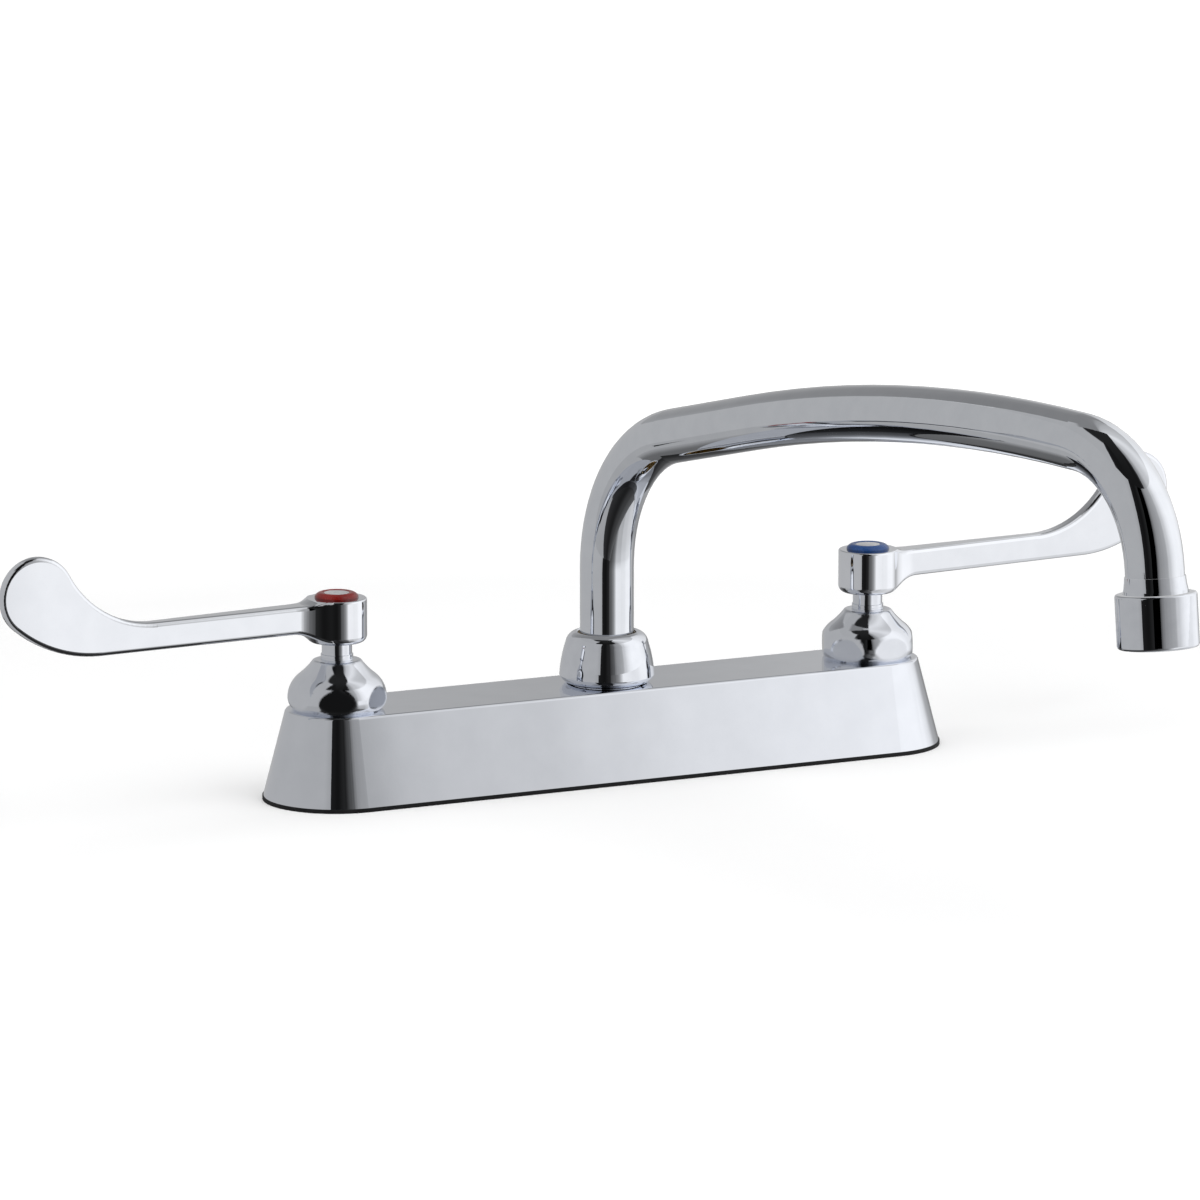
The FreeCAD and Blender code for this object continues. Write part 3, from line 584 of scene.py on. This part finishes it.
ceilingWedges = [
    {"name": "ceilingFarLeft", "start": -180, "end": -135, "axis": "Y", "levels": [(0.0, 0.25), (1.0, 0.25)]},
    {"name": "ceilingMidLeft", "start": -135, "end": -110, "axis": "Y",
     "levels": [(0.0, 0.25), (0.4, 0.25), (0.54, 0.46), (1.0, 0.46)]},
    {"name": "ceilingLeft", "start": -110, "end": -40, "axis": "Y",
     "levels": [(0.0, 0.015), (0.36, 0.02), (0.42, 0.46), (1.0, 0.46)]},
    {"name": "ceilingGap", "start": -40, "end": 32,
     "levels": [(0.0, 0.03), (0.1, 0.01), (0.9, 0.01), (1.0, 0.05)]},
    {"name": "ceilingRight", "start": 32, "end": 90, "levels": [(0.0, 0.28), (0.4, 0.65), (1.0, 0.88)]},
    {"name": "ceilingBack", "start": 90, "end": 180,
     "levels": [(0.0, 0.86), (0.3, 0.64), (0.6, 0.52), (0.72, 0.40), (0.85, 0.26), (1.0, 0.25)]},
]
# the pit wedges lie under the deck and stand in for it in the metal's reflections, as the deck is kept out of
# mirror rays; their darkening along the wedge is painted shade, darker towards the middle under the faucet
pitWedges = [
    {"name": "pitLeft", "start": -180, "end": gapLeft, "levels": [(0.0, 0.42), (0.7, 0.42), (1.0, 0.40)]},
    {"name": "pitGap", "start": gapLeft, "end": gapRight, "levels": gapGrade},
    {"name": "pitFront", "start": gapRight, "end": frontRight, "levels": frontGrade,
     "nearShade": [(0.0, 0.40), (0.4, 0.52), (1.0, 0.66)]},
    {"name": "pitRight", "start": frontRight, "end": rightBack, "levels": rightGrade,
     "nearShade": [(0.0, 0.60), (0.5, 0.68), (1.0, 0.80)]},
    {"name": "pitBack", "start": rightBack, "end": 180,
     "levels": [(0.0, 0.66), (0.3, 0.34), (0.6, 0.38), (1.0, 0.42)]},
]


def gradeRamp(tree, value, levels):
    ramp = tree.nodes.new("ShaderNodeValToRGB")
    ramp.color_ramp.interpolation = "EASE"
    stops = ramp.color_ramp.elements
    while len(stops) < len(levels):
        stops.new(1.0)
    for stop, (place, level) in zip(stops, levels):
        stop.position = place
        stop.color = (level, level, level, 1.0)
    tree.links.new(value, ramp.inputs["Fac"])
    return ramp.outputs["Color"]


def glowMaterial(name, look):
    material = bpy.data.materials.new(name)
    material.use_nodes = True
    tree = material.node_tree
    tree.nodes.remove(tree.nodes["Principled BSDF"])
    along = tree.nodes.new("ShaderNodeSeparateXYZ")
    tree.links.new(tree.nodes.new("ShaderNodeTexCoord").outputs["UV"], along.inputs["Vector"])
    glow = tree.nodes.new("ShaderNodeEmission")
    level = gradeRamp(tree, along.outputs[look.get("axis", "X")], look["levels"])
    tree.links.new(level, glow.inputs["Color"])
    # darkening along the card's height, towards the middle of the deck: painted shade of the faucet on the
    # deck
    if "nearShade" in look:
        tree.links.new(gradeRamp(tree, along.outputs["Y"], look["nearShade"]), glow.inputs["Strength"])
    tree.links.new(glow.outputs["Emission"], tree.nodes["Material Output"].inputs["Surface"])
    return material


def reflectionOnly(piece):
    piece.visible_camera = False
    piece.visible_diffuse = False
    piece.visible_shadow = False


def edgeAt(edge, turn):
    if not isinstance(edge, list):
        return edge
    for (start, low), (end, high) in zip(edge, edge[1:]):
        if turn <= end:
            return low + (high - low) * (turn - start) / (end - start)
    return edge[-1][1]


def curvedCard(card, low, high, inner):
    points = []
    faces = []
    for step in range(cardSpans + 1):
        turn = card["start"] + (card["end"] - card["start"]) * step / cardSpans
        near = aroundDeck(turn - photoView["swing"], 0.0, inner)
        far = aroundDeck(turn - photoView["swing"], 0.0, cardRing)
        points.append((near.x, near.y, edgeAt(low, turn)))
        points.append((far.x, far.y, edgeAt(high, turn)))
    for step in range(cardSpans):
        first = 2 * step
        faces.append((first, first + 2, first + 3, first + 1))
    piece = meshPiece(card["name"], points, faces, glowMaterial(card["name"], card))
    layer = piece.data.uv_layers.new(name="alongCard")
    for loop in piece.data.loops:
        layer.data[loop.index].uv = ((loop.vertex_index // 2) / cardSpans, loop.vertex_index % 2)
    if "lights" in card:
        lit = bpy.data.collections.new(card["name"] + "Lights")
        for name in card["lights"]:
            lit.objects.link(nodes[name])
        piece.light_linking.receiver_collection = lit
    reflectionOnly(piece)


for card in wallCards:
    curvedCard(card, card["low"], card["high"], cardRing)
for card in ceilingWedges:
    curvedCard(card, ceilingLevel, ceilingLevel, wedgeTip)
for card in pitWedges:
    curvedCard(card, pitLevel, pitLevel, wedgeTip)

# dark strips between the cards, measured from the middle towards the camera and to its right; the two laid on
# the pit behind the faucet are painted shade, the faucet's shadow on the deck as the metal mirrors it
overheadGap = {
    "height": 0.79, "back": -0.02, "front": 0.69, "left": -0.12, "right": 0.12,
    "levels": [(0.0, 0.02), (1.0, 0.01)],
}
# painted shadow on the deck behind the faucet, darker towards it
behindShade = {
    "height": -0.165, "back": -0.62, "front": -0.165, "left": -0.50, "right": 0.20,
    "levels": [(0.0, 0.22), (0.44, 0.17), (0.78, 0.06), (1.0, 0.02)],
}
# painted shadow on the deck close behind the body, darker to the right
crownShade = {
    "height": -0.164, "back": -0.165, "front": -0.055, "left": -0.34, "right": 0.12, "axis": "Y",
    "levels": [(0.0, 0.36), (0.35, 0.15), (0.55, 0.14), (0.75, 0.06), (1.0, 0.05)],
}
elbowGap = {
    "height": -0.163, "back": -0.03, "front": 0.67, "left": -0.20, "right": 0.14, "axis": "Y",
    "levels": [(0.0, 0.06), (0.1, 0.03), (0.5, 0.015), (0.75, 0.05), (0.9, 0.09), (1.0, 0.14)],
}


def darkStrip(name, look):
    toCamera = aroundDeck(-photoView["swing"], 0.0, 1.0)
    toRight = Vector((-toCamera.y, toCamera.x, 0.0))
    points = []
    for reach in (look["back"], look["front"]):
        for side in (look["left"], look["right"]):
            spot = toCamera * reach + toRight * side
            points.append((spot.x, spot.y, look["height"]))
    piece = meshPiece(name, points, [(0, 1, 3, 2)], glowMaterial(name, look))
    layer = piece.data.uv_layers.new(name="alongStrip")
    for loop in piece.data.loops:
        layer.data[loop.index].uv = (loop.vertex_index // 2, loop.vertex_index % 2)
    reflectionOnly(piece)


darkStrip("overheadGap", overheadGap)
darkStrip("behindShade", behindShade)
darkStrip("crownShade", crownShade)
darkStrip("elbowGap", elbowGap)
print("deck and reflector cards set")


# soft lamps for the deck, rubber and plastic
lamps = [
    {"name": "keyLamp", "turn": 55, "rise": 50, "distance": 1.9, "size": 1.6, "power": 16.0},
    {"name": "fillLamp", "turn": -60, "rise": 45, "distance": 1.9, "size": 1.6, "power": 9.0},
    {"name": "topLamp", "turn": 180, "rise": 80, "distance": 1.9, "size": 1.8, "power": 12.0},
]
for lamp in lamps:
    data = bpy.data.lights.new(lamp["name"], "AREA")
    data.size = lamp["size"]
    data.energy = lamp["power"]
    light = bpy.data.objects.new(lamp["name"], data)
    bpy.context.scene.collection.objects.link(light)
    light.location = aroundDeck(lamp["turn"] - photoView["swing"], lamp["rise"], lamp["distance"])
    light.rotation_euler = (-light.location).to_track_quat("-Z", "Y").to_euler()
    light.visible_camera = False
    light.visible_glossy = False

# world: soft white light, and plain white where it is seen
surround = {"ambient": 0.45, "seen": 1.0, "white": (1.0, 1.0, 1.0, 1.0)}


def paintWorld(look):
    world = bpy.data.worlds.new("whiteStudio")
    bpy.context.scene.world = world
    world.use_nodes = True
    tree = world.node_tree
    ambient = tree.nodes["Background"]
    ambient.inputs["Color"].default_value = look["white"]
    ambient.inputs["Strength"].default_value = look["ambient"]
    backdrop = tree.nodes.new("ShaderNodeBackground")
    backdrop.inputs["Color"].default_value = look["white"]
    backdrop.inputs["Strength"].default_value = look["seen"]
    choose = tree.nodes.new("ShaderNodeMixShader")
    tree.links.new(seenDirectly(tree), choose.inputs["Fac"])
    tree.links.new(ambient.outputs["Background"], choose.inputs[1])
    tree.links.new(backdrop.outputs["Background"], choose.inputs[2])
    tree.links.new(choose.outputs["Shader"], tree.nodes["World Output"].inputs["Surface"])


paintWorld(surround)
bpy.context.scene.view_settings.view_transform = "Standard"
print("lamps and world ready")
